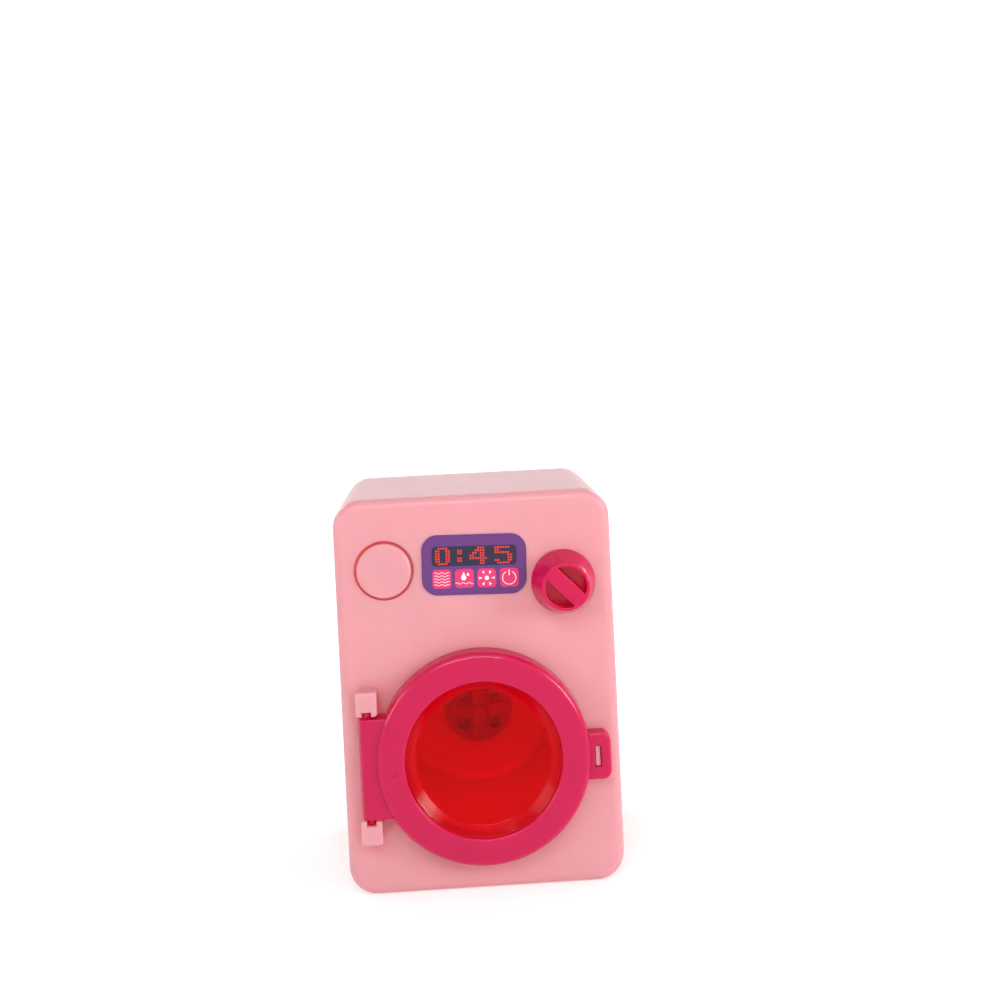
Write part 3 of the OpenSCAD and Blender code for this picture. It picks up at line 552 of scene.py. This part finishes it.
FLOOR_FRONT, FLOOR_BACK, FLOOR_SIDE = -1.5, 1.6, 2.5
SWEEP_RADIUS = 0.5
SWEEP_STEPS = 16
BACKDROP_TOP = 2.2
FLOOR_TONES = ((0.93, 0.93, 0.93, 1), (0.96, 0.96, 0.96, 1))  # linear
LIFT_NEAR, LIFT_FAR = 0.36, 1  # added where the floor is seen: near the toy, and away from it
LIFT_START, LIFT_END = 0.3, 1.3  # distances from the toy's middle


def make_camera():
    """The camera at the photograph's viewing angle."""
    data = bpy.data.cameras.new("camera")
    data.sensor_width = CAMERA_SENSOR
    data.lens = CAMERA_LENS
    data.shift_x, data.shift_y = CAMERA_SHIFT
    data.clip_start = CAMERA_NEAR
    camera = bpy.data.objects.new("camera", data)
    camera.location = Vector(CAMERA_AT) * MM
    camera.rotation_euler = Euler([math.radians(a) for a in CAMERA_TURN])
    bpy.context.scene.collection.objects.link(camera)
    bpy.context.scene.camera = camera


def make_floor():
    """A pale floor that sweeps up into a backdrop. A glossy ray passes through it."""
    sweep = [math.pi / 2 * i / SWEEP_STEPS for i in range(SWEEP_STEPS + 1)]
    profile = [(FLOOR_FRONT, 0)]
    profile += [(FLOOR_BACK - SWEEP_RADIUS + SWEEP_RADIUS * math.sin(t),
                 SWEEP_RADIUS - SWEEP_RADIUS * math.cos(t)) for t in sweep]
    profile += [(FLOOR_BACK, BACKDROP_TOP)]
    mesh = bmesh.new()
    rows = [[mesh.verts.new((x, y, z)) for x in (-FLOOR_SIDE, FLOOR_SIDE)] for y, z in profile]
    for low, high in zip(rows, rows[1:]):
        mesh.faces.new((low[0], low[1], high[1], high[0]))
    floor = new_object("floor", mesh, smooth=True)

    nodes = Nodes("floor_pale")
    matt = nodes.add("ShaderNodeBsdfDiffuse")
    cloud = nodes.ramp(nodes.noise(size=0.4, detail=2), 0, 1)
    nodes.link(nodes.blend(cloud, *FLOOR_TONES), matt.inputs["Color"])
    distance = nodes.add("ShaderNodeVectorMath", operation="LENGTH")
    nodes.link(nodes.place(), distance.inputs[0])
    lift = nodes.ramp(distance.outputs["Value"], LIFT_NEAR, LIFT_FAR, LIFT_START, LIFT_END)
    glow = nodes.add("ShaderNodeEmission")
    nodes.link(nodes.product(any_ray(nodes.tree, SEEN_DIRECTLY), lift), glow.inputs["Strength"])
    both = nodes.add("ShaderNodeAddShader")
    nodes.link(matt.outputs[0], both.inputs[0])
    nodes.link(glow.outputs[0], both.inputs[1])
    path = nodes.add("ShaderNodeLightPath")
    clear = nodes.add("ShaderNodeBsdfTransparent")
    floor.data.materials.append(nodes.finish(
        nodes.mixed(path.outputs["Is Glossy Ray"], both, clear)))


def softbox(name, place, width, height, power):
    """A rectangular lamp that points at the toy."""
    data = bpy.data.lights.new(name, "AREA")
    data.shape = "RECTANGLE"
    data.size, data.size_y = width, height
    data.energy = power
    lamp = bpy.data.objects.new(name, data)
    lamp.location = place
    direction = Vector(LAMP_TARGET) - Vector(place)
    lamp.rotation_euler = direction.to_track_quat("-Z", "Y").to_euler()
    bpy.context.scene.collection.objects.link(lamp)


def make_lights():
    """The lamps, and a world that is white where it is seen and dimmer as a light."""
    for lamp in LAMPS:
        softbox(*lamp)
    world = bpy.data.worlds.new("studio")
    bpy.context.scene.world = world
    world.use_nodes = True
    tree = world.node_tree
    background = tree.nodes["Background"]
    background.inputs["Color"].default_value = (1, 1, 1, 1)
    level = tree.nodes.new("ShaderNodeMapRange")
    level.inputs["To Min"].default_value = WORLD_LIGHT
    level.inputs["To Max"].default_value = WORLD_SEEN
    tree.links.new(any_ray(tree, SEEN_DIRECTLY), level.inputs["Value"])
    tree.links.new(level.outputs["Result"], background.inputs["Strength"])


bpy.context.scene.view_settings.view_transform = "Standard"
make_camera()
paint_cad_parts()
make_label()
make_spring()
make_floor()
make_lights()
